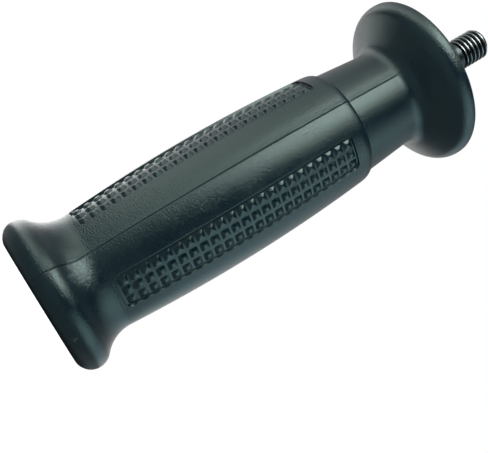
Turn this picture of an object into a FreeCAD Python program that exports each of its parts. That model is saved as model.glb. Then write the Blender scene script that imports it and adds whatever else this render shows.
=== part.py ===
import FreeCAD, Part
import math
import os

import Sketcher

# Auxiliary side handle of a small angle grinder. It stands on its flat butt: the origin is the
# centre of the butt face and +Z runs along the axis, towards the threaded stud.
# It has two pieces: the plastic moulding, and the steel stud that it is moulded around.

SIZES = [
    ("butt_radius", 18.4, "widest radius of the flared butt"),
    ("butt_round", 4.0, "rounding of the butt rim"),
    ("flare_radius", 8.6, "radius of the hollow between the butt rim and the grip"),
    ("belly_radius", 15.5, "largest radius of the grip"),
    ("belly_height", 48.8, "butt face to the largest radius"),
    ("belly_curve", 407.0, "radius of the long curve along the grip"),
    ("grip_length", 80.7, "butt face to the shoulder"),
    ("shoulder_step", 1.05, "drop from the grip to the collar"),
    ("shoulder_round", 0.9, "rounding of the shoulder"),
    ("collar_length", 16.2, "shoulder to the foot of the hand guard"),
    ("collar_taper", 1.3, "radius that the collar loses on its way to the guard"),
    ("guard_radius", 21.0, "radius of the hand guard"),
    ("guard_rise", 5.4, "height of the cone on the back of the guard"),
    ("guard_edge", 3.9, "height of the guard edge with its roundings"),
    ("guard_root_round", 4.0, "hollow between the collar and the guard"),
    ("guard_back_round", 3.8, "rounding of the guard edge towards the grip"),
    ("guard_front_round", 1.3, "rounding of the guard edge towards the tool"),
    ("boss_radius", 8.0, "radius of the boss that seats on the tool"),
    ("boss_length", 8.8, "height of the boss above the guard"),
    ("boss_root_round", 1.5, "hollow between the guard and the boss"),
    ("boss_edge_round", 0.8, "rounding of the boss edge"),
    ("panel_count", 4, "textured panels around the grip"),
    ("panel_start", 15.0, "butt face to the panels"),
    ("panel_end_margin", 4.5, "panels to the shoulder"),
    ("panel_width", 9.4, "width of a panel around the belly"),
    ("panel_depth", 0.55, "depth of the recess"),
    ("panel_corner", 1.4, "corner radius of the recess"),
    ("knob_rows", 3, "rows of knobs in a panel"),
    ("row_pitch", 2.8, "row to row around the belly"),
    ("knob_pitch", 2.65, "knob to knob along the grip"),
    ("knob_margin", 1.3, "least distance from a panel end to the centre of a knob"),
    ("knob_base", 1.95, "side of a knob at the recess floor"),
    ("knob_top", 1.15, "side of a knob at its flat top"),
    ("knob_rise", 0.5, "height of a knob above the recess floor"),
    ("thread_radius", 4.0, "major radius of the M8 thread"),
    ("thread_length", 8.7, "threaded end of the stud"),
    ("shank_radius", 3.6, "radius of the plain shank that the thread is rolled on"),
    ("stud_reach", 12.0, "boss face to the tip of the stud"),
    ("stud_length", 35.0, "underside of the head to the tip of the stud"),
    ("stud_chamfer", 0.9, "chamfer of the tip"),
    ("head_flats", 13.0, "distance across the flats of the hexagon head"),
    ("head_thickness", 5.3, "thickness of the hexagon head"),
]

SURFACE_OVERRUN = 2.0  # a cutting shape reaches this far past the surface of the grip
EDGE_LAND = 0.02       # least straight length between the two roundings of the guard edge
SAME = 1e-4            # two lengths closer than this are one

ROOT_HEIGHT = "sizes.grip_length + sizes.collar_length"
CORNER_HEIGHT = ROOT_HEIGHT + " + sizes.guard_rise"
FRONT_HEIGHT = CORNER_HEIGHT + " + sizes.guard_edge"
BOSS_HEIGHT = FRONT_HEIGHT + " + sizes.boss_length"
STUD_TIP = BOSS_HEIGHT + " + sizes.stud_reach"
HEAD_TOP = STUD_TIP + " - sizes.stud_length"
GRIP_END = ("sizes.belly_radius - sizes.belly_curve"
            " + sqrt(sizes.belly_curve^2 - (sizes.grip_length - sizes.belly_height)^2)")
ROOT_RADIUS = GRIP_END + " - sizes.shoulder_step - sizes.collar_taper"

doc = FreeCAD.newDocument("side_handle")


def make_sheet():
    """Keep every driving size in one sheet, each under its own name."""
    sheet = doc.addObject("Spreadsheet::Sheet", "sizes")
    for row, (name, value, note) in enumerate(SIZES, start=1):
        sheet.set(f"A{row}", name)
        sheet.set(f"B{row}", str(value))
        sheet.set(f"C{row}", note)
        sheet.setAlias(f"B{row}", name)
    doc.recompute()
    return sheet


sizes = make_sheet()


def size(name):
    return float(getattr(sizes, name))


def belly_at(height, offset=0.0):
    """Radius at a height of the grip's long curve, or of a curve at an offset from it."""
    centre = size("belly_radius") - size("belly_curve")
    curve = size("belly_curve") + offset
    return centre + math.sqrt(curve ** 2 - (height - size("belly_height")) ** 2)


def handle_stations():
    """Radius and height of each corner of the outline, from the shoulder to the boss face."""
    shoulder = size("grip_length")
    root = shoulder + size("collar_length")
    corner = root + size("guard_rise")
    front = corner + size("guard_edge")
    grip_end = belly_at(shoulder)
    collar = grip_end - size("shoulder_step")
    return {
        "shoulder": (grip_end, shoulder),
        "collar": (collar, shoulder),
        "root": (collar - size("collar_taper"), root),
        "corner": (size("guard_radius"), corner),
        "front": (size("guard_radius"), front),
        "hub": (size("boss_radius"), front),
        "boss": (size("boss_radius"), front + size("boss_length")),
    }


def flare_centre():
    """Centre of the hollow that touches both the rim rounding and the long curve of the grip."""
    rim = (size("butt_radius") - size("butt_round"), size("butt_round"))
    belly = (size("belly_radius") - size("belly_curve"), size("belly_height"))
    to_rim = size("butt_round") + size("flare_radius")
    to_belly = size("belly_curve") + size("flare_radius")
    across = math.dist(rim, belly)
    along = (to_rim ** 2 - to_belly ** 2 + across ** 2) / (2 * across)
    aside = math.sqrt(to_rim ** 2 - along ** 2)
    unit = ((belly[0] - rim[0]) / across, (belly[1] - rim[1]) / across)
    return (rim[0] + along * unit[0] + aside * unit[1], rim[1] + along * unit[1] - aside * unit[0])


def towards(centre, point):
    return math.atan2(point[1] - centre[1], point[0] - centre[0])


class Outline:
    """A closed chain of lines and arcs in a sketch. Sketch x is radius and sketch y is height."""

    def __init__(self, body, name):
        self.sketch = body.newObject("Sketcher::SketchObject", name)
        plane = next(f for f in body.Origin.OriginFeatures if f.Role == "XZ_Plane")
        self.sketch.AttachmentSupport = [(plane, "")]
        self.sketch.MapMode = "FlatFace"
        self.first = None
        self.last = None

    def join(self, index, start, end, smooth):
        if self.last:
            kind = "Tangent" if smooth else "Coincident"
            self.sketch.addConstraint(Sketcher.Constraint(kind, *self.last, index, start))
        else:
            self.first = (index, start)
        self.last = (index, end)
        return index

    def line(self, start, end):
        edge = Part.LineSegment(FreeCAD.Vector(*start, 0), FreeCAD.Vector(*end, 0))
        return self.join(self.sketch.addGeometry(edge, False), 1, 2, False)

    def arc(self, centre, radius, start, end, smooth=True):
        """An arc from one angle to another. A falling angle makes a hollow."""
        circle = Part.Circle(FreeCAD.Vector(*centre, 0), FreeCAD.Vector(0, 0, 1), radius)
        index = self.sketch.addGeometry(Part.ArcOfCircle(circle, min(start, end), max(start, end)), False)
        ends = (1, 2) if end > start else (2, 1)
        return self.join(index, *ends, smooth)

    def close(self):
        self.sketch.addConstraint(Sketcher.Constraint("Coincident", *self.last, *self.first))

    def hold(self, kind, *indices):
        for index in indices:
            self.sketch.addConstraint(Sketcher.Constraint(kind, index))

    def bind(self, expression, value, *constraint):
        """Add a dimension that starts at a value and follows an expression of the sheet."""
        number = self.sketch.addConstraint(Sketcher.Constraint(*constraint, value))
        self.sketch.setExpression(f"Constraints[{number}]", expression)

    def bind_radius(self, index, expression, value):
        self.bind(expression, value, "Radius", index)

    def bind_across(self, index, point, expression, value):
        self.bind(expression, value, "DistanceX", -1, 1, index, point)

    def bind_height(self, index, point, expression, value):
        self.bind(expression, value, "DistanceY", -1, 1, index, point)

    def bind_belly_centre(self, index):
        """The long curve's centre lies far beyond the axis, at the height of the largest radius."""
        beyond = size("belly_curve") - size("belly_radius")
        self.bind("sizes.belly_curve - sizes.belly_radius", beyond, "DistanceX", index, 3, -1, 1)
        self.bind_height(index, 3, "sizes.belly_height", size("belly_height"))


def draw_handle_outline(body):
    """Half of the lengthwise section, from the butt to the boss, before its edges are rounded."""
    path = Outline(body, "handle_outline")
    at = handle_stations()
    rim = (size("butt_radius") - size("butt_round"), size("butt_round"))
    hollow = flare_centre()
    belly = (size("belly_radius") - size("belly_curve"), size("belly_height"))
    rim_to_hollow = towards(rim, hollow)
    hollow_to_belly = towards(hollow, belly) % (2 * math.pi)

    axis = path.line((0, at["boss"][1]), (0, 0))
    butt = path.line((0, 0), (rim[0], 0))
    rim_arc = path.arc(rim, size("butt_round"), -math.pi / 2, rim_to_hollow)
    flare = path.arc(hollow, size("flare_radius"), rim_to_hollow + math.pi, hollow_to_belly)
    grip = path.arc(belly, size("belly_curve"), towards(belly, hollow), towards(belly, at["shoulder"]))
    step = path.line(at["shoulder"], at["collar"])
    collar = path.line(at["collar"], at["root"])
    path.line(at["root"], at["corner"])
    edge = path.line(at["corner"], at["front"])
    front = path.line(at["front"], at["hub"])
    side = path.line(at["hub"], at["boss"])
    face = path.line(at["boss"], (0, at["boss"][1]))
    path.close()

    path.hold("Vertical", axis, edge, side)
    path.hold("Horizontal", butt, step, front, face)
    path.sketch.addConstraint(Sketcher.Constraint("Coincident", butt, 1, -1, 1))
    path.bind_radius(rim_arc, "sizes.butt_round", size("butt_round"))
    path.bind_radius(flare, "sizes.flare_radius", size("flare_radius"))
    path.bind_radius(grip, "sizes.belly_curve", size("belly_curve"))
    path.bind_across(rim_arc, 3, "sizes.butt_radius - sizes.butt_round", rim[0])
    path.bind_belly_centre(grip)
    path.bind_height(step, 1, "sizes.grip_length", at["shoulder"][1])
    path.bind("sizes.shoulder_step", size("shoulder_step"), "DistanceX", step, 2, step, 1)
    path.bind("sizes.collar_taper", size("collar_taper"), "DistanceX", collar, 2, collar, 1)
    path.bind_height(collar, 2, ROOT_HEIGHT, at["root"][1])
    path.bind_across(edge, 1, "sizes.guard_radius", at["corner"][0])
    path.bind_height(edge, 1, CORNER_HEIGHT, at["corner"][1])
    path.bind_height(front, 1, FRONT_HEIGHT, at["front"][1])
    path.bind_across(side, 1, "sizes.boss_radius", at["hub"][0])
    path.bind_height(face, 1, BOSS_HEIGHT, at["boss"][1])
    doc.recompute()
    return path.sketch


def revolve(body, sketch, name):
    """Turn a sketch round the handle's axis."""
    turned = body.newObject("PartDesign::Revolution", name)
    turned.Profile = sketch
    turned.ReferenceAxis = (sketch, ["V_Axis"])
    turned.Angle = 360
    doc.recompute()
    return turned


def ring_edges(feature, station):
    """Names of the circular edges of a feature at one radius and height."""
    radius, height = station
    names = []
    for number, edge in enumerate(feature.Shape.Edges, start=1):
        if not isinstance(edge.Curve, Part.Circle):
            continue
        near = abs(edge.Curve.Radius - radius) < SAME and abs(edge.Curve.Center.z - height) < SAME
        if near:
            names.append(f"Edge{number}")
    return names


def round_ring(body, base, station, name, expression):
    """Round one circular corner of the turned shape."""
    rounding = body.newObject("PartDesign::Fillet", name)
    rounding.Base = (base, ring_edges(base, station))
    rounding.setExpression("Radius", expression)
    doc.recompute()
    return rounding


def make_handle_blank():
    """The moulding without its texture: flared butt, grip, collar, hand guard and boss."""
    body = doc.addObject("PartDesign::Body", "handle_blank")
    feature = revolve(body, draw_handle_outline(body), "handle_turned")
    at = handle_stations()
    reach = f"(sizes.guard_radius - ({ROOT_RADIUS}))"
    slope = f"sqrt({reach}^2 + sizes.guard_rise^2)"
    edge_left = f"(sizes.guard_edge - sizes.guard_front_round - {EDGE_LAND})"
    back_limit = f"{edge_left} * {reach} / ({slope} - sizes.guard_rise)"
    roundings = [
        ("shoulder", "shoulder_round", "min(sizes.shoulder_round; sizes.shoulder_step * 0.9)"),
        ("root", "guard_root_round", "sizes.guard_root_round"),
        ("corner", "guard_back_round", f"min(sizes.guard_back_round; {back_limit})"),
        ("front", "guard_front_round", "sizes.guard_front_round"),
        ("hub", "boss_root_round", "sizes.boss_root_round"),
        ("boss", "boss_edge_round", "sizes.boss_edge_round"),
    ]
    for station, name, expression in roundings:
        feature = round_ring(body, feature, at[station], name, expression)
    return body


def draw_panel_outline(body):
    """Section of a recess along the grip: its floor follows the belly at the panel's depth."""
    path = Outline(body, "panel_outline")
    start = size("panel_start")
    end = size("grip_length") - size("panel_end_margin")
    depth = size("panel_depth")
    outside = size("belly_radius") + SURFACE_OVERRUN
    belly = (size("belly_radius") - size("belly_curve"), size("belly_height"))
    low = (belly_at(start, -depth), start)
    high = (belly_at(end, -depth), end)

    floor = path.arc(belly, size("belly_curve") - depth, towards(belly, low), towards(belly, high))
    top = path.line(high, (outside, end))
    back = path.line((outside, end), (outside, start))
    bottom = path.line((outside, start), low)
    path.close()

    path.hold("Horizontal", top, bottom)
    path.hold("Vertical", back)
    path.bind_radius(floor, "sizes.belly_curve - sizes.panel_depth", size("belly_curve") - depth)
    path.bind_belly_centre(floor)
    path.bind_height(top, 1, "sizes.grip_length - sizes.panel_end_margin", end)
    path.bind_height(bottom, 1, "sizes.panel_start", start)
    path.bind_across(back, 1, f"sizes.belly_radius + {SURFACE_OVERRUN}", outside)
    doc.recompute()
    return path.sketch


def corner_edges(feature):
    """Names of the four edges that run outwards from the recess floor."""
    names = []
    for number, edge in enumerate(feature.Shape.Edges, start=1):
        first, last = edge.firstVertex().Point, edge.lastVertex().Point
        level = abs(first.z - last.z) < SAME
        outwards = abs(math.hypot(first.x, first.y) - math.hypot(last.x, last.y)) > SURFACE_OVERRUN
        if level and outwards:
            names.append(f"Edge{number}")
    return names


def make_panel_recess():
    """The space of one recess, centred on +X, with rounded corners."""
    body = doc.addObject("PartDesign::Body", "panel_recess")
    sweep = revolve(body, draw_panel_outline(body), "panel_turned")
    sweep.setExpression("Angle", "sizes.panel_width / sizes.belly_radius * 180 / pi")
    sweep.Midplane = True
    doc.recompute()
    corners = body.newObject("PartDesign::Fillet", "panel_corners")
    corners.Base = (sweep, corner_edges(sweep))
    corners.setExpression("Radius", "sizes.panel_corner")
    doc.recompute()
    return body


def make_knob():
    """One knob as a truncated pyramid. It reaches as far below the recess floor as above it."""
    knob = doc.addObject("Part::Wedge", "knob")
    root = "sizes.knob_base - sizes.knob_top / 2"
    for side in ("X", "Z"):
        knob.setExpression(f"{side}min", f"-({root})")
        knob.setExpression(f"{side}max", root)
        knob.setExpression(f"{side}2min", "-sizes.knob_top / 2")
        knob.setExpression(f"{side}2max", "sizes.knob_top / 2")
    knob.setExpression("Ymin", "-sizes.knob_rise")
    knob.setExpression("Ymax", "sizes.knob_rise")
    doc.recompute()
    return knob


def knob_angles():
    """Angle of each knob of a row, about the centre of the long curve of the grip."""
    start = size("panel_start")
    end = size("grip_length") - size("panel_end_margin")
    run = end - start - 2 * size("knob_margin")
    count = int(run / size("knob_pitch")) + 1
    middle = math.asin(((start + end) / 2 - size("belly_height")) / size("belly_curve"))
    pitch = size("knob_pitch") / size("belly_curve")
    return [math.degrees(middle + (n - (count - 1) / 2) * pitch) for n in range(count)]


def row_angles():
    """Angle of each row of a panel, about the handle's axis."""
    rows = int(size("knob_rows"))
    pitch = math.degrees(size("row_pitch") / size("belly_radius"))
    return [(n - (rows - 1) / 2) * pitch for n in range(rows)]


def make_panel_insert(recess, knob):
    """What the mould's insert displaces in one panel: the recess without its knobs."""
    axis = FreeCAD.Vector(0, 0, 1)
    origin = FreeCAD.Vector(0, 0, 0)
    seat = knob.Shape.copy()
    seat.rotate(origin, axis, -90)
    seat.translate(FreeCAD.Vector(size("belly_radius") - size("panel_depth"), 0, size("belly_height")))
    belly_centre = FreeCAD.Vector(size("belly_radius") - size("belly_curve"), 0, size("belly_height"))
    knobs = []
    for along in knob_angles():
        for around in row_angles():
            copy = seat.copy()
            copy.rotate(belly_centre, FreeCAD.Vector(0, -1, 0), along)
            copy.rotate(origin, axis, around)
            knobs.append(copy)
    return recess.Shape.cut(knobs)


def make_panel_inserts(insert):
    """The inserts of all the panels, placed halfway between the parting lines."""
    count = int(size("panel_count"))
    turn = 360 / count
    copies = []
    for n in range(count):
        copy = insert.copy()
        copy.rotate(FreeCAD.Vector(0, 0, 0), FreeCAD.Vector(0, 0, 1), turn * (n + 0.5))
        copies.append(copy)
    field = doc.addObject("Part::Feature", "panel_inserts")
    field.Shape = Part.makeCompound(copies)
    return field


def make_stud():
    """The steel stud: hexagon head inside the moulding, plain shank, and threaded end."""
    body = doc.addObject("PartDesign::Body", "threaded_stud")
    plane = next(f for f in body.Origin.OriginFeatures if f.Role == "XY_Plane")
    shank = body.newObject("PartDesign::AdditiveCylinder", "stud_shank")
    thread = body.newObject("PartDesign::AdditiveCylinder", "stud_thread")
    head = body.newObject("PartDesign::AdditivePrism", "stud_head")
    for feature in (shank, thread, head):
        feature.AttachmentSupport = [(plane, "")]
        feature.MapMode = "FlatFace"
    shank.setExpression("Radius", "sizes.shank_radius")
    shank.setExpression("Height", "sizes.stud_length")
    shank.setExpression("AttachmentOffset.Base.z", HEAD_TOP)
    thread.setExpression("Radius", "sizes.thread_radius")
    thread.setExpression("Height", "sizes.thread_length")
    thread.setExpression("AttachmentOffset.Base.z", f"{STUD_TIP} - sizes.thread_length")
    head.Polygon = 6
    head.setExpression("Circumradius", "sizes.head_flats / sqrt(3)")
    head.setExpression("Height", "sizes.head_thickness")
    head.setExpression("AttachmentOffset.Base.z", f"{HEAD_TOP} - sizes.head_thickness")
    doc.recompute()
    tip = handle_stations()["boss"][1] + size("stud_reach")
    chamfer = body.newObject("PartDesign::Chamfer", "stud_tip")
    chamfer.Base = (head, ring_edges(head, (size("thread_radius"), tip)))
    chamfer.setExpression("Size", "sizes.stud_chamfer")
    doc.recompute()
    return body


def cut(base, tool, label):
    """One shape without another, under its own label."""
    result = doc.addObject("Part::Cut", label)
    result.Base = base
    result.Tool = tool
    result.Refine = False
    doc.recompute()
    return result


def check(parts):
    """Stop before anything is written if a step failed or a piece isn't one sound solid."""
    for feature in doc.Objects:
        bad = [state for state in feature.State if state in ("Invalid", "Error")]
        if bad:
            raise RuntimeError(f"{feature.Name} is {bad}")
    for piece in parts:
        shape = piece.Shape
        if shape.isNull() or not shape.isValid() or len(shape.Solids) != 1:
            raise RuntimeError(f"{piece.Label} isn't one sound solid")
        print(piece.Label, round(shape.Volume, 2), "mm3,", len(shape.Faces), "faces")


stud = make_stud()
seated = cut(make_handle_blank(), stud, "handle_round_stud")
inserts = make_panel_inserts(make_panel_insert(make_panel_recess(), make_knob()))
handle = cut(seated, inserts, "moulded_handle")

print("panels take", round(seated.Shape.Volume - handle.Shape.Volume, 2), "mm3")
check([handle, stud])
os.makedirs("parts", exist_ok=True)
for piece in (handle, stud):
    piece.Shape.exportStep(f"parts/{piece.Label}.step")
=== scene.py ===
# %% [markdown]
# The side handle of a small angle grinder is one black plastic moulding around a steel stud. The hand
# holds the bellied grip between a flared butt and a round guard, and the stud screws into the tool.
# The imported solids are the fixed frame, in metres: the origin is the centre of the butt face, and +Z
# runs to the stud. They could be shown as they are, with new materials. Here each gets a finer mesh in
# its own place instead, which can carry the mould's parting line, soft knobs and a real thread.

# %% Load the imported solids
import math

import bmesh
import bpy
from mathutils import Matrix, Vector


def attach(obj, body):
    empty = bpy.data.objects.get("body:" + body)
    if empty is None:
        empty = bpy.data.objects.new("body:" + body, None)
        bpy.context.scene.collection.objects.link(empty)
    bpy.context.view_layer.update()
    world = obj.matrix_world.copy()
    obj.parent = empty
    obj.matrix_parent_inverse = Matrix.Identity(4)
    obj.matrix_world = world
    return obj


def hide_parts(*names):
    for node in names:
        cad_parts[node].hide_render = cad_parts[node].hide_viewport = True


MM = 0.001

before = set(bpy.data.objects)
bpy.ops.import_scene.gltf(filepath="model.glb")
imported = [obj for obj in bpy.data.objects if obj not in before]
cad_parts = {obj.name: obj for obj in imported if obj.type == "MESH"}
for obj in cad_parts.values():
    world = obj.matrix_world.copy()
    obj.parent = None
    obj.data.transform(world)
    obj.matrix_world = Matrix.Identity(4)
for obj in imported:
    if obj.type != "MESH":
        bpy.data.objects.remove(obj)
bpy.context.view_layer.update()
scene = bpy.context.scene
print("Nodes:", sorted(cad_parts))

# %% [markdown]
# The camera comes first, because every later step is judged through it. The photo looks at the handle
# from the side and a little from behind the guard, with the stud pointing away to the upper right. The
# handle could be laid down in front of a level camera, but it stands upright in its frame, so the
# camera lies just above the floor and is rolled. Its place was fitted to the handle's outline.

# %% Camera
EYE = Vector((167.29, 45.87, 1.5)) * MM
LOOK_AZIMUTH = -167.56
LOOK_ELEVATION = 14.99
CAMERA_ROLL = 58.38
LENS, SENSOR_WIDTH = 57.1, 36
NEAREST = 0.01


def make_camera():
    """A camera that looks along an azimuth and an elevation, rolled about its own axis."""
    data = bpy.data.cameras.new("camera")
    data.lens = LENS
    data.sensor_width = SENSOR_WIDTH
    data.clip_start = NEAREST
    camera = bpy.data.objects.new("camera", data)
    scene.collection.objects.link(camera)
    level = Matrix.Rotation(math.radians(LOOK_AZIMUTH - 90), 4, "Z")
    lift = Matrix.Rotation(math.radians(LOOK_ELEVATION + 90), 4, "X")
    roll = Matrix.Rotation(math.radians(CAMERA_ROLL), 4, "Z")
    camera.matrix_world = Matrix.Translation(EYE) @ level @ lift @ roll
    scene.camera = camera
    return camera


camera = make_camera()
to_axis = (camera.location - Vector((0, 0, EYE.z))).length
print("Camera is", round(to_axis / MM), "mm from the axis")

# %% [markdown]
# Both the finishes and the shapes are rules, and Blender writes a rule as a tree of nodes. Adding and
# linking each Math node by hand hides the rule, so a Field stands for one number inside a tree, and
# each sign between two Fields becomes a Math node. The rule then reads as it would on paper.

# %% Sums that become nodes


def plug(tree, socket, value):
    """Link a socket to a Field or another socket, or set it to a plain value."""
    if isinstance(value, Field):
        value = value.socket
    if isinstance(value, bpy.types.NodeSocket):
        tree.links.new(value, socket)
    else:
        socket.default_value = value


class Field:
    """A number inside a node tree. Sums written with it become Math nodes."""

    def __init__(self, tree, socket):
        self.tree = tree
        self.socket = socket

    def math(self, operation, *others):
        node = self.tree.nodes.new("ShaderNodeMath")
        node.operation = operation
        for socket, value in zip(node.inputs, (self, *others)):
            plug(self.tree, socket, value)
        return Field(self.tree, node.outputs[0])

    def __add__(self, other):
        return self.math("ADD", other)

    def __sub__(self, other):
        return self.math("SUBTRACT", other)

    def __mul__(self, other):
        return self.math("MULTIPLY", other)

    def __truediv__(self, other):
        return self.math("DIVIDE", other)

    def __neg__(self):
        return self.math("MULTIPLY", -1)

    def ramp(self, low, high, kind="SMOOTHSTEP"):
        """0 below low, 1 above high, and a soft rise between."""
        node = self.tree.nodes.new("ShaderNodeMapRange")
        node.interpolation_type = kind
        for name, value in (("Value", self), ("From Min", low), ("From Max", high)):
            plug(self.tree, node.inputs[name], value)
        return Field(self.tree, node.outputs["Result"])


def add_node(tree, kind, inputs=None, **settings):
    """Add a node, give it its settings, and plug its inputs by name."""
    node = tree.nodes.new(kind)
    for name, value in settings.items():
        setattr(node, name, value)
    for name, value in (inputs or {}).items():
        plug(tree, node.inputs[name], value)
    return node


print("Sums become nodes")

# %% [markdown]
# Every finish here is made of the same few things: noise of a known size, spots at known places, two
# colours mixed by a share, and a bump of a known depth. A picture of the surface would do this too, but
# it would need a file and a layout. Noise on Object coordinates needs neither, and it stays where it is
# on the surface from any side.

# %% Helpers for finishes


def new_finish(name, **inputs):
    """A material whose even values are set on the shader itself."""
    material = bpy.data.materials.new(name)
    material.use_nodes = True
    shader = material.node_tree.nodes["Principled BSDF"]
    for label, value in inputs.items():
        shader.inputs[label.replace("_", " ")].default_value = value
    return material, material.node_tree, shader


def object_place(tree, stretch=(1, 1, 1), turn=(0, 0, 0)):
    """Object coordinates in millimetres, turned and then stretched."""
    spot = add_node(tree, "ShaderNodeTexCoord").outputs["Object"]
    placed = add_node(tree, "ShaderNodeMapping", {"Vector": spot})
    placed.inputs["Scale"].default_value = [s / MM for s in stretch]
    placed.inputs["Rotation"].default_value = turn
    return placed.outputs[0]


def noise(tree, size, detail=2.0, **placing):
    """Noise between 0 and 1, whose blotches are about a size across, in millimetres."""
    inputs = {"Vector": object_place(tree, **placing), "Scale": 1 / size, "Detail": detail}
    made = add_node(tree, "ShaderNodeTexNoise", inputs)
    return Field(tree, made.outputs[0])


def mix_colours(tree, share, low, high):
    """The low colour where a share is 0, and the high one where it is 1."""
    mix = tree.nodes.new("ShaderNodeMix")
    mix.data_type = "RGBA"
    plug(tree, mix.inputs[0], share)
    mix.inputs[6].default_value = (*low, 1)
    mix.inputs[7].default_value = (*high, 1)
    return mix.outputs[2]


def bump(tree, shader, height, depth):
    """Tilt the surface by a height between 0 and 1, times a depth in millimetres."""
    node = add_node(tree, "ShaderNodeBump", {"Height": height})
    node.inputs["Distance"].default_value = depth * MM
    tree.links.new(node.outputs[0], shader.inputs["Normal"])


print("Finish helpers are ready")

# %% [markdown]
# The mould was eroded to a fine satin grain everywhere but in the panels, where the insert is smoother.
# A panel's floor and knobs lie below the grip's long curve, so the finish can find them by that rule.
# Use has rubbed the plastic in two places. A rubbed spot has no clean edge, so noise frays its reach.
# Both could be painted as masks, but a mask is a picture, and a rule follows the sizes when they change.

# %% Where the plastic is smooth or rubbed
BELLY_RADIUS, BELLY_HEIGHT, BELLY_CURVE = 15.5, 48.8, 407.0
PANEL_START, PANEL_END = 15.0, 76.2
INSET_LOW, INSET_HIGH, PANEL_EDGE = 0.01, 0.04, 0.1
FRAY, FRAY_SIZE, FULLY_RUBBED = 1.6, 0.6, 0.45
RUBBED_SPOTS = (
    ((15.3, 2.3, 10.5), 3.4),
    ((12.4, 13.6, 2.0), 0.9),
)


def in_panel(tree):
    """1 where the surface lies below the long curve of the grip, as the knobs and their floor do."""
    xyz = add_node(tree, "ShaderNodeSeparateXYZ", {"Vector": object_place(tree)}).outputs
    x, y, z = (Field(tree, socket) for socket in xyz)
    rise = z - BELLY_HEIGHT
    long_curve = (-(rise * rise) + BELLY_CURVE ** 2).math("SQRT") + (BELLY_RADIUS - BELLY_CURVE)
    inset = long_curve - (x * x + y * y).math("SQRT")
    past_start = z.ramp(PANEL_START - PANEL_EDGE, PANEL_START)
    past_end = z.ramp(PANEL_END, PANEL_END + PANEL_EDGE)
    return inset.ramp(INSET_LOW, INSET_HIGH) * past_start * (-past_end + 1)


def near(tree, spot, reach):
    """1 at a spot in millimetres, and 0 beyond its ragged edge, which lies about a reach away."""
    away = add_node(tree, "ShaderNodeVectorMath", {0: object_place(tree)}, operation="DISTANCE")
    away.inputs[1].default_value = spot
    fray = (noise(tree, reach * FRAY_SIZE, 3.0) - 0.5) * reach * FRAY
    gap = Field(tree, away.outputs["Value"]) + fray
    return -gap.ramp(reach * FULLY_RUBBED, reach) + 1


def rubbed_places(tree):
    """All rubbed spots as one Field, 1 at most."""
    total = None
    for spot, reach in RUBBED_SPOTS:
        here = near(tree, spot, reach)
        total = here if total is None else total + here
    return total.math("MINIMUM", 1)


print(len(RUBBED_SPOTS), "rubbed spots")

# %% [markdown]
# The plastic is a filled nylon, black with a cold cast. Up close its gloss is cloudy, and use has left a
# few hair scratches: noise stretched into streaks in two directions, kept only where the clouds allow.
# The grain is a bump and not part of the mesh, because its pits are a few hundredths of a millimetre
# deep. The tint on the mirrored light is the same everywhere, so it sits on the shader's own socket.

# %% Plastic
BLACK, WORN = (0.0008, 0.0062, 0.0112), (0.055, 0.08, 0.085)
MIRROR_TINT = (0.76, 1.0, 0.92, 1)
GRAIN, GRAIN_DEPTH, CLOUD = 0.34, 0.09, 6.0
PANEL_GRAIN = 0.25
STREAK, STREAK_STRETCH = 0.5, 0.03
SPECKLE_RANGE, CLOUD_RANGE = (0.5, 0.62), (0.35, 0.75)
STREAK_RANGE, DENSE_CLOUD = (0.73, 0.78), (0.5, 0.62)
RUBBED_SHARE, SPECKLE_SHARE, SCRATCH_SHARE, CLOUD_SHARE = 0.25, 0.7, 0.35, 0.03
SCRATCH_HEIGHT = 0.3
ROUGHNESS, CLOUD_ROUGHNESS, RUBBED_ROUGHNESS = 0.15, 0.1, 0.12


def scratches(tree, cloud):
    """1 on hair scratches, which run two ways and come only where the cloud is dense."""
    along = noise(tree, STREAK, 1.0, stretch=(1, 1, STREAK_STRETCH), turn=(0.5, 0.2, 0))
    across = noise(tree, STREAK, 1.0, stretch=(1, STREAK_STRETCH, 1), turn=(0.4, 0, 0.7))
    return along.math("MAXIMUM", across).ramp(*STREAK_RANGE) * cloud.ramp(*DENSE_CLOUD)


def make_plastic():
    """Black, grained and cloudy, paler and duller where it is rubbed."""
    material, tree, shader = new_finish("satin_black_nylon", Specular_Tint=MIRROR_TINT)
    cloud = noise(tree, CLOUD, 4.0)
    grain = noise(tree, GRAIN, 3.0)
    speckle = grain.ramp(*SPECKLE_RANGE)
    rubbed = rubbed_places(tree)
    scratch = scratches(tree, cloud)
    wear = rubbed * (speckle * SPECKLE_SHARE + RUBBED_SHARE) + scratch * SCRATCH_SHARE
    wear = wear + cloud.ramp(*CLOUD_RANGE) * CLOUD_SHARE
    colour = mix_colours(tree, wear.math("MINIMUM", 1), BLACK, WORN)
    tree.links.new(colour, shader.inputs["Base Color"])
    roughness = cloud * CLOUD_ROUGHNESS + ROUGHNESS + rubbed * RUBBED_ROUGHNESS
    plug(tree, shader.inputs["Roughness"], roughness)
    grained = in_panel(tree) * (PANEL_GRAIN - 1) + 1
    bump(tree, shader, grain * grained - scratch * SCRATCH_HEIGHT, GRAIN_DEPTH)
    return material


plastic = make_plastic()
print("Plastic:", len(plastic.node_tree.nodes), "nodes")

# %% [markdown]
# The moulding is round apart from its texture, so its blank is half of the lengthwise section, turned
# about the axis. The section could be a drawn curve. Written as arcs and lines it repeats the driving
# sizes of the solid, and it can put its points where a panel's walls and corners will need them. Two
# tools are enough: an arc, and a corner that is rounded between two lines.

# %% Arcs and rounded corners


def spread(start, end, step):
    """Evenly spaced values after start, up to end, about a step apart."""
    count = max(1, round(abs(end - start) / step))
    return [start + (end - start) * (n + 1) / count for n in range(count)]


def between(start, end, parts):
    """The points that divide a line into equal parts, without its ends."""
    return [tuple(Vector(start).lerp(Vector(end), n / parts)) for n in range(1, parts)]


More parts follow.
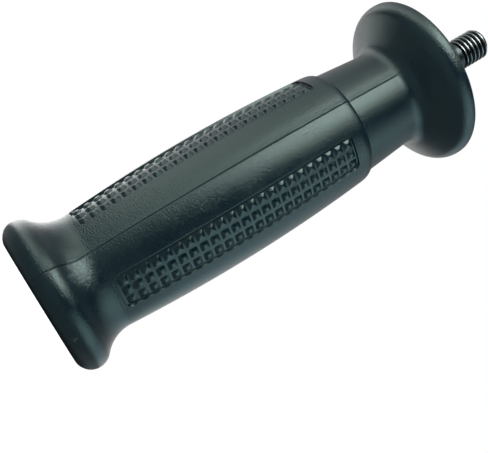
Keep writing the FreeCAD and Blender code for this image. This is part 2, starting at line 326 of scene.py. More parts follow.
def arc(centre, radius, start, end, count):
    """Points of an arc after its start, up to its end. Angles are in radians."""
    angles = [start + (end - start) * (n + 1) / count for n in range(count)]
    return [(centre[0] + radius * math.cos(a), centre[1] + radius * math.sin(a)) for a in angles]


def rounded(before, corner, after, radius, count):
    """The corner of two lines, rounded: the points of the arc that touches both."""
    corner, before, after = (Vector(p) for p in (corner, before, after))
    one, two = (before - corner).normalized(), (after - corner).normalized()
    half = one.angle(two) / 2
    centre = corner + (one + two).normalized() * radius / math.sin(half)
    first = corner + one * radius / math.tan(half) - centre
    last = corner + two * radius / math.tan(half) - centre
    start = math.atan2(first.y, first.x)
    sweep = (math.atan2(last.y, last.x) - start + math.pi) % (2 * math.pi) - math.pi
    return [tuple(centre + first)] + arc(centre, radius, start, start + sweep, count)


print("A quarter arc of 4 parts:", [round(y, 2) for _, y in arc((0, 0), 1, 0, math.pi / 2, 4)])

# %% [markdown]
# The butt's rim runs through a hollow into the grip's long curve. The hollow touches both, so its centre
# lies where two circles about their centres meet. Solving that here keeps the hand's grip smooth when a
# size changes. The heights on the grip lie close together at both ends of a panel, and wide between.

# %% Butt and grip
BUTT_RADIUS, BUTT_ROUND, FLARE_RADIUS = 18.4, 4.0, 8.6
GRIP_LENGTH, SHOULDER_RUN = 80.7, 2.2
PANEL_WALL_LINES = (-0.25, -0.12, -0.04, 0.04, 0.12, 0.22, 0.32, 0.5, 0.7, 0.9, 1.1, 1.3, 1.5)
BUTT_STEP, NECK_STEP, PANEL_STEP, GRIP_STEP = 2.4, 0.7, 1.6, 0.8


def belly_at(height):
    """Radius of the grip's long curve at a height."""
    return BELLY_RADIUS - BELLY_CURVE + math.sqrt(BELLY_CURVE ** 2 - (height - BELLY_HEIGHT) ** 2)


def flare_section():
    """Rim rounding and hollow, up to where the hollow runs into the long curve."""
    rim = Vector((BUTT_RADIUS - BUTT_ROUND, BUTT_ROUND))
    belly = Vector((BELLY_RADIUS - BELLY_CURVE, BELLY_HEIGHT))
    to_rim, to_belly = BUTT_ROUND + FLARE_RADIUS, BELLY_CURVE + FLARE_RADIUS
    across = (belly - rim).length
    along = (to_rim ** 2 - to_belly ** 2 + across ** 2) / (2 * across)
    unit = (belly - rim) / across
    aside = Vector((unit.y, -unit.x)) * math.sqrt(to_rim ** 2 - along ** 2)
    hollow = rim + unit * along + aside
    turn = math.atan2(hollow.y - rim.y, hollow.x - rim.x)
    end = math.atan2(belly.y - hollow.y, belly.x - hollow.x) % (2 * math.pi)
    rim_arc = arc(rim, BUTT_ROUND, -math.pi / 2, turn, 16)
    return rim_arc + arc(hollow, FLARE_RADIUS, turn + math.pi, end, 14)


def panel_rows():
    """Heights across the panels: close rows at both ends, and few between."""
    low = [PANEL_START + line for line in PANEL_WALL_LINES]
    high = [PANEL_END - line for line in reversed(PANEL_WALL_LINES)]
    return low + spread(low[-1], high[0], PANEL_STEP)[:-1] + high


def grip_section():
    """From the centre of the butt to the start of the shoulder."""
    butt = [(radius, 0.0) for radius in spread(0, BUTT_RADIUS - BUTT_ROUND, BUTT_STEP)]
    flare = flare_section()
    heights = spread(flare[-1][1], PANEL_START + PANEL_WALL_LINES[0], NECK_STEP)[:-1] + panel_rows()
    heights += spread(heights[-1], GRIP_LENGTH - SHOULDER_RUN, GRIP_STEP)
    return butt + flare + [(belly_at(height), height) for height in heights]


grip = grip_section()
print("Grip:", len(grip), "points, up to", round(grip[-1][1], 2), "mm")

# %% [markdown]
# Above the grip come a rounded shoulder, a slightly conical collar, the guard that keeps the hand off the
# disc, and the boss that seats on the tool. All of it is straight lines with rounded corners, which a
# Bevel modifier could round too, but less exactly. A long line gets points along it, and the boss's face
# one ring, because the shading would otherwise stretch from corner to corner.

# %% Shoulder, collar, guard and boss
SHOULDER_STEP, SHOULDER_ROUND = 1.05, 0.9
COLLAR_LENGTH, COLLAR_TAPER = 16.2, 1.3
GUARD_RADIUS, GUARD_RISE, GUARD_EDGE = 21.0, 5.4, 3.9
GUARD_ROOT_ROUND, GUARD_BACK_ROUND, GUARD_FRONT_ROUND = 4.0, 3.8, 1.3
BOSS_RADIUS, BOSS_LENGTH, BOSS_ROOT_ROUND, BOSS_EDGE_ROUND = 8.0, 8.8, 1.5, 0.8
SHANK_RADIUS = 3.6
FACE_RING = 5.2


def shoulder_section():
    """A quarter of an ellipse, from the long curve to just short of the collar."""
    points = []
    for degrees in range(10, 100, 10):
        turn = math.radians(degrees)
        height = GRIP_LENGTH - SHOULDER_RUN * (1 - math.sin(turn))
        points.append((belly_at(height) - SHOULDER_ROUND * (1 - math.cos(turn)), height))
    return points


def front_section():
    """From the foot of the collar, over the guard and the boss, to the edge of the bore."""
    collar = (belly_at(GRIP_LENGTH) - SHOULDER_STEP, GRIP_LENGTH)
    root = (collar[0] - COLLAR_TAPER, GRIP_LENGTH + COLLAR_LENGTH)
    corner = (GUARD_RADIUS, root[1] + GUARD_RISE)
    front = (GUARD_RADIUS, corner[1] + GUARD_EDGE)
    hub = (BOSS_RADIUS, front[1])
    boss = (BOSS_RADIUS, front[1] + BOSS_LENGTH)
    bore = (SHANK_RADIUS, boss[1])
    root_arc = rounded(collar, root, corner, GUARD_ROOT_ROUND, 8)
    back_arc = rounded(root, corner, front, GUARD_BACK_ROUND, 12)
    front_arc = rounded(corner, front, hub, GUARD_FRONT_ROUND, 6)
    hub_arc = rounded(front, hub, boss, BOSS_ROOT_ROUND, 5)
    edge_arc = rounded(hub, boss, bore, BOSS_EDGE_ROUND, 5)
    points = [collar] + between(collar, root_arc[0], 10) + root_arc
    points += between(root_arc[-1], back_arc[0], 5) + back_arc
    points += front_arc + between(front_arc[-1], hub_arc[0], 8) + hub_arc
    return points + edge_arc + [(FACE_RING, boss[1]), bore]


section = grip + shoulder_section() + front_section()
print("Section:", len(section), "points, up to", round(section[-1][1], 2), "mm")

# %% [markdown]
# Turning the section will give the blank. A Screw modifier could turn it in even steps, but then fine
# steps would be needed all round. Here the columns are given, the same in each quarter: close
# together at the side walls of a panel and beside the parting line, and wide apart between them.

# %% Columns of the blank
PANEL_COUNT = 4
PANEL_WIDTH = 9.4
SEAM_LINES = (0.07, 0.14, 0.22, 0.32, 0.5)
PANEL_COLUMN, PLAIN_COLUMN = 0.8, 1.12


def quarter_columns():
    """Distances around the belly from the middle of a panel to the parting line, in millimetres."""
    reach = math.pi * BELLY_RADIUS / PANEL_COUNT
    walls = [PANEL_WIDTH / 2 - line for line in reversed(PANEL_WALL_LINES)]
    inner = [0.0] + spread(0.0, walls[0], PANEL_COLUMN)[:-1] + walls
    seam = [reach - line for line in reversed(SEAM_LINES)]
    return inner + spread(inner[-1], seam[0], PLAIN_COLUMN)[:-1] + seam


def column_angles():
    """Azimuth of each column, in radians."""
    half = quarter_columns()
    across = [-d for d in reversed(half[1:])] + half
    turn = 2 * math.pi / PANEL_COUNT
    angles = []
    for n in range(PANEL_COUNT):
        angles.append(n * turn)
        angles += [(n + 0.5) * turn + d / BELLY_RADIUS for d in across]
    return angles


columns = column_angles()
print("Columns:", len(columns))

# %% [markdown]
# The moulding is cast around the stud, so it has a blind bore where the stud's shank sits. It could be
# drilled with a Boolean, but the section already ends at the bore's edge, and one more point leads it
# down to the bore's floor. A fan of triangles closes the butt and that floor.

# %% Turn the blank
BORE_DEPTH = 23.0


def new_piece(name, vertices, faces):
    """A mesh object at the origin, from points in millimetres."""
    mesh = bpy.data.meshes.new(name)
    mesh.from_pydata([[c * MM for c in point] for point in vertices], [], faces)
    piece = bpy.data.objects.new(name, mesh)
    scene.collection.objects.link(piece)
    return piece


def tube_faces(rings, count):
    """Faces between rings of equally many points, each ring above the last."""
    faces = []
    for ring in range(rings - 1):
        for k in range(count):
            here, there = ring * count + k, ring * count + (k + 1) % count
            faces.append((here, there, there + count, here + count))
    return faces


def turn_blank(name, outline, angles):
    """Turn an outline, close both ends with fans, and return a closed mesh."""
    vertices = [(r * math.cos(a), r * math.sin(a), z) for r, z in outline for a in angles]
    count, rows = len(angles), len(outline)
    faces = tube_faces(rows, count)
    for row, z in ((0, outline[0][1]), (rows - 1, outline[-1][1])):
        vertices.append((0, 0, z))
        for k in range(count):
            edge = (row * count + (k + 1) % count, row * count + k)
            faces.append((*(edge if row == 0 else reversed(edge)), len(vertices) - 1))
    return new_piece(name, vertices, faces)


bore_floor = (SHANK_RADIUS, section[-1][1] - BORE_DEPTH)
moulding = turn_blank("grip_moulding", section + [bore_floor], columns)
print("Blank:", len(moulding.data.vertices), "vertices,", len(moulding.data.polygons), "faces")

# %% [markdown]
# The next shapes are rules for the surface, so Geometry Nodes make them. Each tree has a named input for
# every size, as a modifier in Blender's own panel would show them. A tree runs once on its piece, and
# the result is kept as a plain mesh, because the export drops live instances.

# %% Trees for shapes


def new_tree(name, sizes):
    """A tree with a geometry going in, one out, and a named input for each size."""
    tree = bpy.data.node_groups.new(name, "GeometryNodeTree")
    tree.interface.new_socket("Geometry", in_out="INPUT", socket_type="NodeSocketGeometry")
    tree.interface.new_socket("Geometry", in_out="OUTPUT", socket_type="NodeSocketGeometry")
    for label, value in sizes.items():
        kind = {int: "NodeSocketInt", float: "NodeSocketFloat"}.get(type(value), "NodeSocketObject")
        tree.interface.new_socket(label, in_out="INPUT", socket_type=kind)
    entry = tree.nodes.new("NodeGroupInput")
    fields = {label: Field(tree, entry.outputs[label]) for label in sizes}
    return tree, entry.outputs["Geometry"], fields


def end_tree(tree, geometry, material):
    """Realize what is instanced, give it its material, and lead it out of the tree."""
    real = add_node(tree, "GeometryNodeRealizeInstances", {"Geometry": geometry})
    inputs = {"Geometry": real.outputs[0], "Material": material}
    named = add_node(tree, "GeometryNodeSetMaterial", inputs)
    tree.links.new(named.outputs[0], tree.nodes.new("NodeGroupOutput").inputs[0])


def separate_position(tree):
    """The three coordinates of each point, as Fields."""
    position = add_node(tree, "GeometryNodeInputPosition").outputs[0]
    xyz = add_node(tree, "ShaderNodeSeparateXYZ", {"Vector": position})
    return [Field(tree, socket) for socket in xyz.outputs]


def place(tree, *xyz):
    """Three Fields as one vector."""
    return add_node(tree, "ShaderNodeCombineXYZ", dict(zip("XYZ", xyz))).outputs[0]


def plain_mesh(piece, tree, sizes):
    """Run a tree on a piece, keep the result as its plain mesh, and drop the modifier."""
    modifier = piece.modifiers.new(tree.name, "NODES")
    modifier.node_group = tree
    for item in tree.interface.items_tree:
        if item.in_out == "INPUT" and item.name in sizes:
            modifier[item.identifier] = sizes[item.name]
    graph = bpy.context.evaluated_depsgraph_get()
    made = bpy.data.meshes.new_from_object(piece.evaluated_get(graph), depsgraph=graph)
    piece.modifiers.remove(modifier)
    piece.data = made


print("Tree helpers are ready")

# %% [markdown]
# A mould insert presses each panel into the grip. Cutting four pockets with a Boolean would leave hard
# edges. The rule here is soft, and the same all round: fold the azimuth into one quarter, measure how
# far a point lies inside a rounded rectangle, and push it towards the axis by a smooth step.

# %% Press the panels
PANEL_DEPTH, PANEL_CORNER = 0.55, 1.4

panel_sizes = {
    "Panel Count": PANEL_COUNT,
    "Belly Radius": BELLY_RADIUS * MM,
    "Panel Width": PANEL_WIDTH * MM,
    "Panel Start": PANEL_START * MM,
    "Panel End": PANEL_END * MM,
    "Corner Radius": PANEL_CORNER * MM,
    "Depth": PANEL_DEPTH * MM,
    "Lip": 0.05 * MM,
    "Wall": 0.15 * MM,
}


def build_panel_tree():
    tree, geometry, size = new_tree("press_panels", panel_sizes)
    x, y, z = separate_position(tree)
    radius = (x * x + y * y).math("SQRT")
    share = y.math("ARCTAN2", x) / math.tau * size["Panel Count"]
    arc_length = size["Belly Radius"] * math.tau / size["Panel Count"]
    across = (share.math("FRACT") - 0.5).math("ABSOLUTE") * arc_length
    middle = (size["Panel Start"] + size["Panel End"]) * 0.5
    along = (z - middle).math("ABSOLUTE")
    beyond_side = across - (size["Panel Width"] * 0.5 - size["Corner Radius"])
    beyond_end = along - ((size["Panel End"] - size["Panel Start"]) * 0.5 - size["Corner Radius"])
    side, end = beyond_side.math("MAXIMUM", 0), beyond_end.math("MAXIMUM", 0)
    inner = beyond_side.math("MAXIMUM", beyond_end).math("MINIMUM", 0)
    inside = size["Corner Radius"] - (side * side + end * end).math("SQRT") - inner
    sink = inside.ramp(-size["Lip"], size["Wall"]) * size["Depth"]
    shrink = (radius - sink) / radius.math("MAXIMUM", 1e-6)
    inputs = {"Geometry": geometry, "Position": place(tree, x * shrink, y * shrink, z)}
    pressed = add_node(tree, "GeometryNodeSetPosition", inputs)
    end_tree(tree, pressed.outputs[0], plastic)
    return tree


plain_mesh(moulding, build_panel_tree(), panel_sizes)
print("Panels pressed:", PANEL_COUNT)

# %% [markdown]
# Where the two halves of the mould meet, they leave a line along both sides of the handle: a fine groove
# with a lip beside it. A dark painted line would not catch the light, so points near the line are moved
# along their normals by two bell curves, one down and one up. It ends short of the guard.

# %% Mark the parting line
seam_sizes = {
    "Groove Depth": 0.09 * MM,
    "Groove Width": 0.13 * MM,
    "Lip Height": 0.05 * MM,
    "Lip Width": 0.14 * MM,
    "Lip Offset": 0.24 * MM,
    "Low End": 0.4 * MM,
    "High End": (GRIP_LENGTH + COLLAR_LENGTH) * MM,
}


def build_seam_tree():
    tree, geometry, size = new_tree("mark_parting_line", seam_sizes)
    x, y, z = separate_position(tree)
    side = -y * x.math("SIGN")
    groove = side / size["Groove Width"]
    lip = (side - size["Lip Offset"]) / size["Lip Width"]
    rise = (-(lip * lip)).math("EXPONENT") * size["Lip Height"]
    drop = (-(groove * groove)).math("EXPONENT") * size["Groove Depth"]
    normal = add_node(tree, "GeometryNodeInputNormal").outputs[0]
    low, high = size["Low End"], size["High End"]
    marked = z.ramp(low, low * 3) * (-z.ramp(high - low * 2, high) + 1)
    inputs = {"Vector": normal, "Scale": (rise - drop) * marked}
    offset = add_node(tree, "ShaderNodeVectorMath", inputs, operation="SCALE")
    inputs = {"Geometry": geometry, "Offset": offset.outputs[0]}
    moved = add_node(tree, "GeometryNodeSetPosition", inputs)
    end_tree(tree, moved.outputs[0], plastic)
    return tree


plain_mesh(moulding, build_seam_tree(), seam_sizes)
print("Parting line marked")

# %% [markdown]
# Each panel holds three rows of small knobs: low pyramids with sloping walls and a blunt crown. In the
# photo each shows one bright wall and dark ones beside it, so the walls have to be flat and only their
# corners round. One knob is made once, as a stack of rounded squares. Its lowest ring lies under the
# floor, so that it joins the panel cleanly.

# %% One knob
KNOB_RINGS = ((1.12, -0.15), (1.06, 0.0), (0.5, 0.33), (0.4, 0.38), (0.2, 0.4))
KNOB_CORNER = 0.34
CORNER_POINTS = 3


def rounded_square(half, height):
    """A ring of points: a square with rounded corners."""
    ring = []
    corner = half * KNOB_CORNER
    for n, (sx, sy) in enumerate(((1, 1), (-1, 1), (-1, -1), (1, -1))):
        for k in range(CORNER_POINTS):
            a = math.pi / 2 * (n + k / (CORNER_POINTS - 1))
            x = sx * (half - corner) + corner * math.cos(a)
            y = sy * (half - corner) + corner * math.sin(a)
            ring.append((x, y, height))
    return ring


def make_knob():
    """One knob about the origin, with its crown facing +Z. A ring is half a width and a height."""
    rings = [rounded_square(half, height) for half, height in KNOB_RINGS]
    count, top = len(rings[0]), (len(rings) - 1) * len(rings[0])
    foot, crown = tuple(reversed(range(count))), tuple(range(top, top + count))
    faces = [foot] + tube_faces(len(rings), count) + [crown]
    return new_piece("knob", [point for ring in rings for point in ring], faces)


knob = make_knob()
print("Knob:", len(knob.data.polygons), "faces")

# %% [markdown]
# An Array modifier would lay the knobs in a straight row. The floor they stand on is curved both ways,
# so the tree works out the seat of each from its number: its panel, its row around the grip and its
# column along the grip's long curve. A union then makes knobs and moulding one closed skin.

# %% Seat the knobs
KNOB_ROWS, KNOB_COLUMNS = 3, 23
ROW_PITCH, KNOB_PITCH = 2.8, 2.65

knob_sizes = {
    "Knob": knob,
    "Panel Count": PANEL_COUNT,
    "Rows": KNOB_ROWS,
    "Columns": KNOB_COLUMNS,
    "Row Pitch": ROW_PITCH * MM,
    "Knob Pitch": KNOB_PITCH * MM,
    "Belly Radius": BELLY_RADIUS * MM,
    "Belly Height": BELLY_HEIGHT * MM,
    "Belly Curve": BELLY_CURVE * MM,
    "Middle Height": (PANEL_START + PANEL_END) / 2 * MM,
    "Depth": PANEL_DEPTH * MM,
}


def seat_of_knob(tree, size, number):
    """Where a knob of a number sits, and how it leans and turns."""
    per_panel = size["Rows"] * size["Columns"]
    panel = (number / per_panel).math("FLOOR")
    within = number - panel * per_panel
    row = (within / size["Columns"]).math("FLOOR")
    column = within - row * size["Columns"]

    middle = ((size["Middle Height"] - size["Belly Height"]) / size["Belly Curve"]).math("ARCSINE")
    lean = middle + (column - (size["Columns"] - 1) * 0.5) * size["Knob Pitch"] / size["Belly Curve"]
    floor_curve = size["Belly Curve"] - size["Depth"]
    radius = size["Belly Radius"] - size["Belly Curve"] + floor_curve * lean.math("COSINE")
    height = size["Belly Height"] + floor_curve * lean.math("SINE")
    row_angle = (row - (size["Rows"] - 1) * 0.5) * size["Row Pitch"] / size["Belly Radius"]
    azimuth = (panel + 0.5) * math.tau / size["Panel Count"] + row_angle
    seat = place(tree, radius * azimuth.math("COSINE"), radius * azimuth.math("SINE"), height)
    return seat, place(tree, 0.0, -lean + math.pi / 2, azimuth)


def build_knob_tree():
    tree, geometry, size = new_tree("seat_knobs", knob_sizes)
    count = size["Rows"] * size["Columns"] * size["Panel Count"]
    points = add_node(tree, "GeometryNodePoints", {"Count": count})
    number = Field(tree, add_node(tree, "GeometryNodeInputIndex").outputs[0])
    seat, angles = seat_of_knob(tree, size, number)
    inputs = {"Geometry": points.outputs[0], "Position": seat}
    seated = add_node(tree, "GeometryNodeSetPosition", inputs)
    turned = add_node(tree, "FunctionNodeEulerToRotation", {"Euler": angles})
    shape = add_node(tree, "GeometryNodeObjectInfo", {"Object": size["Knob"]})
    copies = add_node(tree, "GeometryNodeInstanceOnPoints", {
        "Points": seated.outputs[0],
        "Instance": shape.outputs["Geometry"],
        "Rotation": turned.outputs[0],
    })
    solid = add_node(tree, "GeometryNodeRealizeInstances", {"Geometry": copies.outputs[0]})
    union = add_node(tree, "GeometryNodeMeshBoolean", operation="UNION", solver="MANIFOLD")
    tree.links.new(geometry, union.inputs["Mesh 2"])
    tree.links.new(solid.outputs[0], union.inputs["Mesh 2"])
    end_tree(tree, union.outputs[0], plastic)
    return tree


plain_mesh(moulding, build_knob_tree(), knob_sizes)
bpy.data.objects.remove(knob)
print("Knobs seated:", PANEL_COUNT * KNOB_ROWS * KNOB_COLUMNS)

# %% [markdown]
# Smooth shading would smear the light across the feet of the knobs, and flat shading would show every
# face of the grip. So edges that turn sharply stay sharp, and all the rest is smooth. The mesh is then
# measured: its triangles, open edges and volume are printed, and a closed skin has no open edge. It
# rides on the body root and stands for the imported solid, which is hidden.

# %% Shade and measure the moulding
SHARP_TURN = 32


def shade(piece):
    """Smooth everywhere but at sharp turns."""
    piece.data.polygons.foreach_set("use_smooth", [True] * len(piece.data.polygons))
    piece.data.set_sharp_from_angle(angle=math.radians(SHARP_TURN))
    piece.data.update()


def measure(piece):
    """Print what the mesh is like: its triangles, open edges and volume."""
    work = bmesh.new()
    work.from_mesh(piece.data)
    open_edges = sum(1 for edge in work.edges if not edge.is_manifold)
    triangles = sum(len(face.verts) - 2 for face in work.faces)
    volume = work.calc_volume(signed=True) / MM ** 3
    print(piece.name, triangles, "triangles,", open_edges, "open edges,", round(volume, 1), "mm3")
    work.free()


shade(moulding)
measure(moulding)
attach(moulding, "root")
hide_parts("moulded_handle")

# %% [markdown]
# The stud's steel is blackened by its heat treatment. The oxide stays in the thread's grooves and is
# rubbed bright on the crests. A worn edge could be found by its curvature, but on a round stud the
# crests are simply the points farthest from the axis.

# %% Steel
CREST_LOW, CREST_HIGH = 3.7, 3.97
OXIDE, BRIGHT = (0.045, 0.055, 0.06), (0.36, 0.39, 0.4)
STAIN, PITS, PIT_DEPTH = 1.6, 0.25, 0.006
STEEL_ROUGHNESS, STAIN_ROUGHNESS = 0.2, 0.25
STAIN_RANGE = (0.25, 0.5)


def make_steel():
    """Dark metal with brighter crests, stained and finely pitted."""
    material, tree, shader = new_finish("blackened_steel", Metallic=1.0)
    xyz = add_node(tree, "ShaderNodeSeparateXYZ", {"Vector": object_place(tree)}).outputs
    x, y = Field(tree, xyz[0]), Field(tree, xyz[1])
    stain = noise(tree, STAIN, 3.0)
    crest = (x * x + y * y).math("SQRT").ramp(CREST_LOW, CREST_HIGH) * stain.ramp(*STAIN_RANGE)
    colour = mix_colours(tree, crest, OXIDE, BRIGHT)
    tree.links.new(colour, shader.inputs["Base Color"])
    plug(tree, shader.inputs["Roughness"], stain * STAIN_ROUGHNESS + STEEL_ROUGHNESS)
    bump(tree, shader, noise(tree, PITS, 2.0), PIT_DEPTH)
    return material


steel = make_steel()
print("Steel:", len(steel.node_tree.nodes), "nodes")

# %% [markdown]
# The stud is an M8 bolt with a rolled thread. A profile swept by a Screw modifier would need its ends
# trimmed. Here a flat grid is rolled up along the helix instead, so that its rows lie exactly on the
# crests, flanks and roots. Rows past either end fall onto the axis and close it. Towards the shank the
# thread fades out over a turn, and the tip is chamfered.

# %% Roll the thread
THREAD_RADIUS, THREAD_PITCH, THREAD_LENGTH = 4.0, 1.25, 8.7
STUD_TIP, STUD_CHAMFER = 127.0, 0.9
DEPTH_PER_PITCH = 0.6134
CREST_EDGE, ROOT_EDGE = 1 / 16, 6 / 16
FADE_START, FADE_TURNS = 0.3, 0.9
WELD = 2e-6
ROWS_PER_PITCH, THREAD_TURNS, THREAD_COLUMNS = 16, 11, 73

thread_sizes = {
    "Pitch": THREAD_PITCH * MM,
    "Major Radius": THREAD_RADIUS * MM,
    "Shank Radius": SHANK_RADIUS * MM,
    "Groove Depth": DEPTH_PER_PITCH * THREAD_PITCH * MM,
    "Start": (STUD_TIP - THREAD_LENGTH) * MM,
    "Tip": STUD_TIP * MM,
    "Chamfer": STUD_CHAMFER * MM,
    "Fade Turns": FADE_TURNS,
    "Turns": THREAD_TURNS,
    "Rows": THREAD_TURNS * ROWS_PER_PITCH + 1,
    "Columns": THREAD_COLUMNS,
}


def build_thread_tree():
    tree, _, size = new_tree("roll_thread", thread_sizes)
    inputs = {"Size X": 1.0, "Size Y": 1.0, "Vertices X": size["Rows"], "Vertices Y": size["Columns"]}
    grid = add_node(tree, "GeometryNodeMeshGrid", inputs)
    x, y, _ = separate_position(tree)
    around, along = y + 0.5, (x + 0.5) * size["Turns"]
    pitch, tip, start = size["Pitch"], size["Tip"], size["Start"]
    low_end = start - pitch * 0.5
    raw = (along + around - 2) * pitch + low_end
    height = raw.math("MAXIMUM", low_end).math("MINIMUM", tip)

    turn = (height - start) / pitch - around + 0.5
    from_crest = (turn.math("FRACT") - 0.5).math("ABSOLUTE")
    groove = from_crest.ramp(CREST_EDGE, ROOT_EDGE, "LINEAR") * size["Groove Depth"]
    on_helix = turn.math("FLOOR") + around
    fade = on_helix.ramp(FADE_START, size["Fade Turns"] + FADE_START)
    shank = size["Shank Radius"]
    threaded = shank + (size["Major Radius"] - groove - shank) * fade
    cone = tip - height + size["Major Radius"] - size["Chamfer"]
    wall = threaded.math("MINIMUM", cone)
    past = (raw - tip).math("MAXIMUM", low_end - raw).math("MAXIMUM", 0) / pitch
    radius = wall * (-past + 1).math("MAXIMUM", 0)
    angle = around * math.tau
    seat = place(tree, radius * angle.math("COSINE"), radius * angle.math("SINE"), height)
    rolled = add_node(tree, "GeometryNodeSetPosition", {"Geometry": grid.outputs[0], "Position": seat})
    inputs = {"Geometry": rolled.outputs[0], "Distance": WELD}
    closed = add_node(tree, "GeometryNodeMergeByDistance", inputs)
    end_tree(tree, closed.outputs[0], steel)
    return tree


stud = new_piece("stud", [], [])
plain_mesh(stud, build_thread_tree(), thread_sizes)
print("Thread:", len(stud.data.vertices), "vertices")

# %% [markdown]
# The rest of the stud is a plain shank and a hexagon head, which keeps the stud from turning in the
# plastic. They could be turned and milled like the thread, but the moulding hides nearly all of them, so
# two prisms are enough. The shank ends just below the thread's start, inside the plain half turn that
# the rolled mesh begins with, and it runs a little into the head, so that no gap opens at either end.

# %% Shank and head
STUD_LENGTH = 35.0
HEAD_FLATS, HEAD_THICKNESS = 13.0, 5.3
SHANK_SIDES, HEAD_SIDES = 72, 6
BELOW_THREAD, INTO_HEAD = 0.3, 1


def add_prism(work, sides, radius, low, high):
    """A closed prism on the axis between two heights, in millimetres."""
    shift = Matrix.Translation((0, 0, (low + high) / 2 * MM))
    bmesh.ops.create_cone(work, cap_ends=True, segments=sides, radius1=radius * MM,
                          radius2=radius * MM, depth=(high - low) * MM, matrix=shift)


def add_shank_and_head(piece):
    """Join both prisms to the thread, with one material for all."""
    underside = STUD_TIP - STUD_LENGTH
    shank_top = STUD_TIP - THREAD_LENGTH - BELOW_THREAD
    extra = bmesh.new()
    add_prism(extra, SHANK_SIDES, SHANK_RADIUS, underside - INTO_HEAD, shank_top)
    add_prism(extra, HEAD_SIDES, HEAD_FLATS / math.sqrt(3), underside - HEAD_THICKNESS, underside)
    mesh = bpy.data.meshes.new("shank_and_head")
    extra.to_mesh(mesh)
    extra.free()
    work = bmesh.new()
    work.from_mesh(piece.data)
    work.from_mesh(mesh)
    bmesh.ops.recalc_face_normals(work, faces=work.faces)
    for face in work.faces:
        face.material_index = 0
    piece.data.materials.clear()
    piece.data.materials.append(steel)
    work.to_mesh(piece.data)
    work.free()


add_shank_and_head(stud)
shade(stud)
measure(stud)
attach(stud, "root")
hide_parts("threaded_stud")

# %% [markdown]
# The photo's handle lies on a white ground. The camera, and rays through glass, see the floor and the
# surround as plain white. Directions for the studio are given as the photographer sees them, but they
# are worked out once, here, so nothing slides when another camera looks.

# %% Directions and rays


def camera_way(*way):
    """A direction given as right, up and back in the photo, in the frame of the handle."""
    return (camera.matrix_world.to_3x3() @ Vector(way)).normalized()


def light_path(tree):
    """Fields for rays from the camera or through glass, and for mirrored rays."""
    path = add_node(tree, "ShaderNodeLightPath").outputs
    direct = Field(tree, path["Is Camera Ray"]).math("MAXIMUM", path["Is Transmission Ray"])
    return direct, Field(tree, path["Is Glossy Ray"])


def facing(tree, ray, way):
    """How far a ray points along a way: 1 straight along it, -1 straight against it."""
    product = add_node(tree, "ShaderNodeVectorMath", {0: ray}, operation="DOT_PRODUCT")
    product.inputs[1].default_value = way
    return Field(tree, product.outputs["Value"])


print("The photo's up is", [round(c, 2) for c in camera_way(0, 1, 0)], "in the handle's frame")

# %% [markdown]
# The floor is a plain sheet that takes the handle's shadow. Its glow reaches only the camera and makes
# the sheet white there without lighting the handle. The handle stands here and lies in the photo, which
# has no sheet at the butt, so the sheet is darker in the gloss of the plastic.

# %% Floor
FLOOR_REACH, FLOOR_GLOW = 1.5, 0.62
FLOOR_WHITE, FLOOR_MIRRORED = (0.8, 0.8, 0.8), (0.25, 0.28, 0.3)


def make_floor():
    """A pale floor that takes the shadow. Its glow makes it white to the camera."""
    mesh = bpy.data.meshes.new("floor")
    signs = ((-1, -1), (1, -1), (1, 1), (-1, 1))
    mesh.from_pydata([(x * FLOOR_REACH, y * FLOOR_REACH, 0) for x, y in signs], [], [(0, 1, 2, 3)])
    floor = bpy.data.objects.new("floor", mesh)
    scene.collection.objects.link(floor)
    material, tree, shader = new_finish("floor_white", Roughness=0.9, Specular_IOR_Level=0.0,
                                        Emission_Color=(1, 1, 1, 1))
    direct, mirrored = light_path(tree)
    colour = mix_colours(tree, mirrored, FLOOR_WHITE, FLOOR_MIRRORED)
    plug(tree, shader.inputs["Base Color"], colour)
    plug(tree, shader.inputs["Emission Strength"], direct * FLOOR_GLOW)
    mesh.materials.append(material)


make_floor()
print("Floor:", 2 * FLOOR_REACH, "m wide")

# %% [markdown]
# A black gloss surface shows little but what it mirrors, so the surround is built as a photographer's
# set: white cards on the far side, darker overhead and straight behind, and the bluish table below. A
# picture of a studio could be wrapped around the scene, but a rule of directions needs no file. Each
# part of the set fades in between two cosines of the angle to its direction.

# %% Surround
AMBIENT, CARDS, TABLE = 0.5, 1.9, 1.0
CARDS_WAY, BEHIND_WAY, TABLE_WAY = (-0.45, 0.75, -0.5), (0, 0, -1), (0.35, -1.0, 0.0)
CARDS_EDGE, OVERHEAD_EDGE, BEHIND_EDGE, TABLE_EDGE = (-0.5, 0.4), (0.05, 0.65), (0.5, 0.95), (0.35, 0.8)
DARKER_OVERHEAD, DARKER_BEHIND = 0.75, 0.5
TABLE_COLOUR = (0.65, 0.92, 1.0)


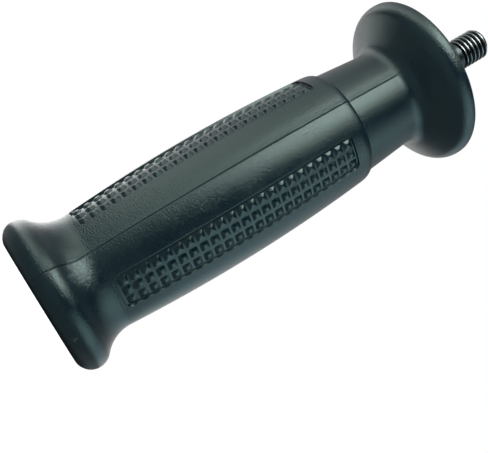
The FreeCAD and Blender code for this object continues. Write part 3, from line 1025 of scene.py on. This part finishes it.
def make_surround():
    """White to the camera and through glass, an even light on dull surfaces, and a set to mirrors."""
    world = bpy.data.worlds.new("surround")
    world.use_nodes = True
    scene.world = world
    tree = world.node_tree
    direct, mirrored = light_path(tree)
    ray = add_node(tree, "ShaderNodeTexCoord").outputs["Generated"]
    cards = facing(tree, ray, camera_way(*CARDS_WAY)).ramp(*CARDS_EDGE)
    overhead = facing(tree, ray, (0, 0, 1)).ramp(*OVERHEAD_EDGE)
    behind = facing(tree, ray, camera_way(*BEHIND_WAY)).ramp(*BEHIND_EDGE)
    table = facing(tree, ray, camera_way(*TABLE_WAY)).ramp(*TABLE_EDGE)
    shaded = cards * (overhead * -DARKER_OVERHEAD + 1) * (behind * -DARKER_BEHIND + 1)
    lit = shaded * CARDS + table * TABLE
    ambient = (-direct + 1) * (-mirrored + 1) * AMBIENT
    colour = mix_colours(tree, table * mirrored, (1, 1, 1), TABLE_COLOUR)
    background = tree.nodes["Background"]
    plug(tree, background.inputs["Strength"], direct.math("MAXIMUM", mirrored * lit) + ambient)
    plug(tree, background.inputs["Color"], colour)


make_surround()
print("Surround:", len(scene.world.node_tree.nodes), "nodes")

# %% [markdown]
# Four soft lamps light the handle. The softbox gives the long sheen on the upper side, and the window
# the bright patch and the glints on the knobs. A card on the left lifts the guard's edge, and the light
# that comes back from the table fills the lower side. Strip lights would mirror as hard bars, so all
# are broad. A lamp is known here by how bright it looks, and its power follows from its size. The
# Standard view shows the plastic's blacks as they are.

# %% Lamps


def add_lamp(name, height, way, distance, size, radiance, colour=(1, 1, 1)):
    """A soft lamp aimed at a height of the handle, in millimetres. Its own sizes are in metres."""
    target = Vector((0, 0, height)) * MM
    back = camera_way(*way)
    along = camera_way(0, 0, 1).cross(back).normalized()
    data = bpy.data.lights.new(name, "AREA")
    data.shape = "RECTANGLE"
    data.size, data.size_y = size
    data.energy = radiance * math.pi * size[0] * size[1]
    data.color = colour
    lamp = bpy.data.objects.new(name, data)
    scene.collection.objects.link(lamp)
    lamp.visible_camera = False
    turn = Matrix((along, back.cross(along), back)).transposed().to_4x4()
    lamp.matrix_world = Matrix.Translation(target + back * distance) @ turn


add_lamp("softbox", height=15, way=(0.25, 0.85, 0.48), distance=0.35,
         size=(0.8, 0.4), radiance=0.87, colour=(1.0, 1.0, 0.82))
add_lamp("window", height=70, way=(0.48, 0.62, 0.62), distance=0.3,
         size=(0.17, 0.2), radiance=7.0)
add_lamp("left_card", height=100, way=(-0.82, 0.13, -0.55), distance=0.17,
         size=(0.12, 0.12), radiance=1.4)
add_lamp("table_bounce", height=50, way=(0.7, -0.65, 0.3), distance=0.45,
         size=(0.5, 0.45), radiance=1.0, colour=(0.8, 0.97, 1.0))
scene.view_settings.view_transform = "Standard"
